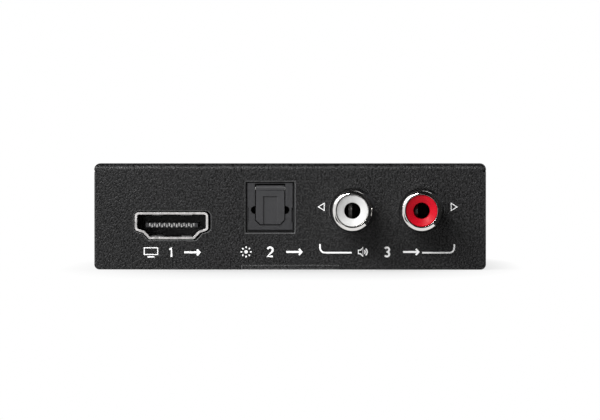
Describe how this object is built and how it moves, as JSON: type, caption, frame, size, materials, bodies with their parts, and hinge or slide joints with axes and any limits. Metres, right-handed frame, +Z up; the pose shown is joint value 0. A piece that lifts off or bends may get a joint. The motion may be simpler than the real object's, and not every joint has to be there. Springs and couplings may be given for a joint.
{
  "type": "hdmi audio extractor",
  "caption": "Small black steel box with HDMI in and out, an optical output with a sprung shutter, two phono outputs, a power inlet and a slide switch.",
  "frame": {"origin": "centre of the case's underside", "axes": "+X to the right as the output panel is seen, the output panel faces -Y, +Z up"},
  "size_m": [0.08, 0.0766, 0.0217],
  "materials": {
    "cover_paint": "fine textured powder coat",
    "plate_paint": "fine textured powder coat",
    "black_steel": "black oxide",
    "zinc_steel": "zinc plated",
    "nickel": "bright nickel plate",
    "gold_contact": "gold flash",
    "tinned_contact": "tinned",
    "black_plastic": "moulded",
    "shutter_plastic": "moulded",
    "white_plastic": "moulded",
    "red_plastic": "moulded",
    "solder_mask": "solder mask over laminate",
    "chip_epoxy": "moulded epoxy",
    "pad_silicone": "soft silicone",
    "black_aluminium": "black anodised",
    "can_aluminium": "bare",
    "ceramic_body": "fired",
    "resistor_body": "coated",
    "phenolic": "pressed laminate",
    "lamp_epoxy": "clear epoxy",
    "emitter_epoxy": "smoked epoxy",
    "ferrite": "pressed ferrite"
  },
  "bodies": {
    "case": {"top_cover": "cover_paint", "bottom_plate": "plate_paint", "side_screws": "black_steel", "board_standoffs": "zinc_steel", "board_screws": "zinc_steel", "circuit_board": "solder_mask", "hdmi_out_shell": "nickel", "hdmi_out_insulator": "black_plastic", "hdmi_out_contacts": "tinned_contact", "hdmi_in_shell": "nickel", "hdmi_in_insulator": "black_plastic", "hdmi_in_contacts": "tinned_contact", "optical_housing": "black_plastic", "shutter_pin": "zinc_steel", "shutter_spring": "zinc_steel", "optical_emitter": "emitter_epoxy", "optical_leads": "tinned_contact", "phono_body": "black_plastic", "phono_barrel_left": "nickel", "phono_barrel_right": "nickel", "phono_insulator_left": "white_plastic", "phono_insulator_right": "red_plastic", "phono_contact_left": "tinned_contact", "phono_contact_right": "tinned_contact", "power_housing": "black_plastic", "power_centre_pin": "nickel", "power_spring_contact": "tinned_contact", "power_break_contact": "tinned_contact", "switch_frame": "zinc_steel", "switch_base": "phenolic", "switch_terminals": "tinned_contact", "light_lamp": "lamp_epoxy", "light_holder": "black_plastic", "light_leads": "tinned_contact", "processor_chip": "chip_epoxy", "processor_leads": "tinned_contact", "thermal_pad": "pad_silicone", "heatsink": "black_aluminium", "audio_converter_chip": "chip_epoxy", "controller_chip": "chip_epoxy", "memory_chip": "chip_epoxy", "receiver_chip": "chip_epoxy", "small_chip_leads": "tinned_contact", "crystal": "zinc_steel", "regulator": "chip_epoxy", "power_inductor": "ferrite", "capacitor_cans": "can_aluminium", "capacitor_bases": "black_plastic", "ceramic_capacitors": "ceramic_body", "chip_resistors": "resistor_body", "end_caps": "tinned_contact"},
    "optical_shutter": {"optical_shutter": "shutter_plastic"},
    "mode_slider": {"switch_knob": "black_plastic", "switch_wiper": "gold_contact"}
  },
  "joints": [
    {"name": "shutter_hinge", "type": "hinge", "parent": "case", "child": "optical_shutter", "pos_m": [-0.00405, -0.03177, 0.0166], "axis": [1, 0, 0], "range_deg": [0, 85], "stiffness_Nm_per_rad": 0.0002, "springref_deg": -57.3, "deforming": ["shutter_spring"]},
    {"name": "mode_slide", "type": "slide", "parent": "case", "child": "mode_slider", "axis": [1, 0, 0], "range_m": [-0.002, 0.002]}
  ]
}
